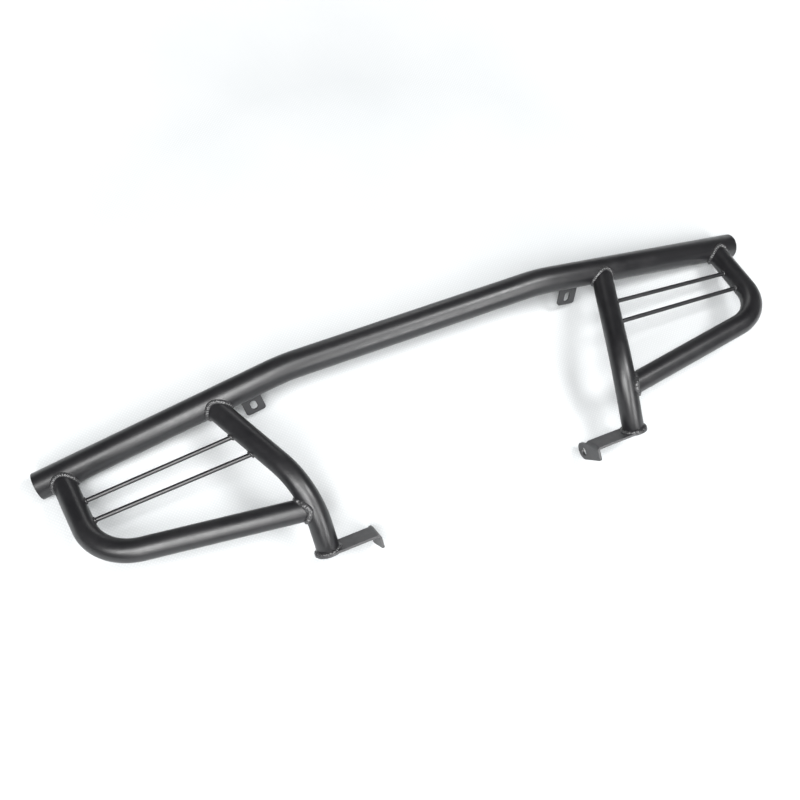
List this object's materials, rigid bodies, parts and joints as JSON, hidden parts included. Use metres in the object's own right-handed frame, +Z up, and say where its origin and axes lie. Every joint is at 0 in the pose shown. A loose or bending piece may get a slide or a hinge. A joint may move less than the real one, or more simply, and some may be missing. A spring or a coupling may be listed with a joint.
{
  "type": "front grille guard",
  "caption": "Tubular front guard: a swept bumper tube with curved uprights, headlamp hoops with thin cross rods, slotted tabs and bent bolt-on feet.",
  "frame": {"origin": "middle of the underside of the guard's box: on the centre plane, level with the bottom of the bumper tube", "axes": "+Z up as fitted, front of the truck towards -Y, the truck's left towards +X, along the bumper tube"},
  "size_m": [1.741, 0.2968, 0.4098],
  "materials": {
    "tube_coat": "semi-matt black powder coat",
    "rod_coat": "semi-matt black powder coat",
    "plate_coat": "matt black powder coat, seen slightly greyer",
    "weld_coat": "satin black powder coat over weld ripples",
    "cap_coat": "semi-matt black powder coat"
  },
  "bodies": {
    "root": {"main_tube": "tube_coat", "end_cap_left": "cap_coat", "upright_left": "tube_coat", "hoop_left": "tube_coat", "rod_lower_left": "rod_coat", "rod_upper_left": "rod_coat", "fixing_tab_left": "plate_coat", "foot_bracket_left": "plate_coat", "weld_upright_base_left": "weld_coat", "weld_hoop_base_left": "weld_coat", "weld_hoop_top_left": "weld_coat", "weld_foot_left": "weld_coat", "weld_tab_left": "weld_coat", "weld_rod_lower_inner_left": "weld_coat", "weld_rod_lower_outer_left": "weld_coat", "weld_rod_upper_inner_left": "weld_coat", "weld_rod_upper_outer_left": "weld_coat", "end_cap_right": "cap_coat", "upright_right": "tube_coat", "hoop_right": "tube_coat", "rod_lower_right": "rod_coat", "rod_upper_right": "rod_coat", "fixing_tab_right": "plate_coat", "foot_bracket_right": "plate_coat", "weld_upright_base_right": "weld_coat", "weld_hoop_base_right": "weld_coat", "weld_hoop_top_right": "weld_coat", "weld_foot_right": "weld_coat", "weld_tab_right": "weld_coat", "weld_rod_lower_inner_right": "weld_coat", "weld_rod_lower_outer_right": "weld_coat", "weld_rod_upper_inner_right": "weld_coat", "weld_rod_upper_outer_right": "weld_coat"}
  },
  "joints": []
}
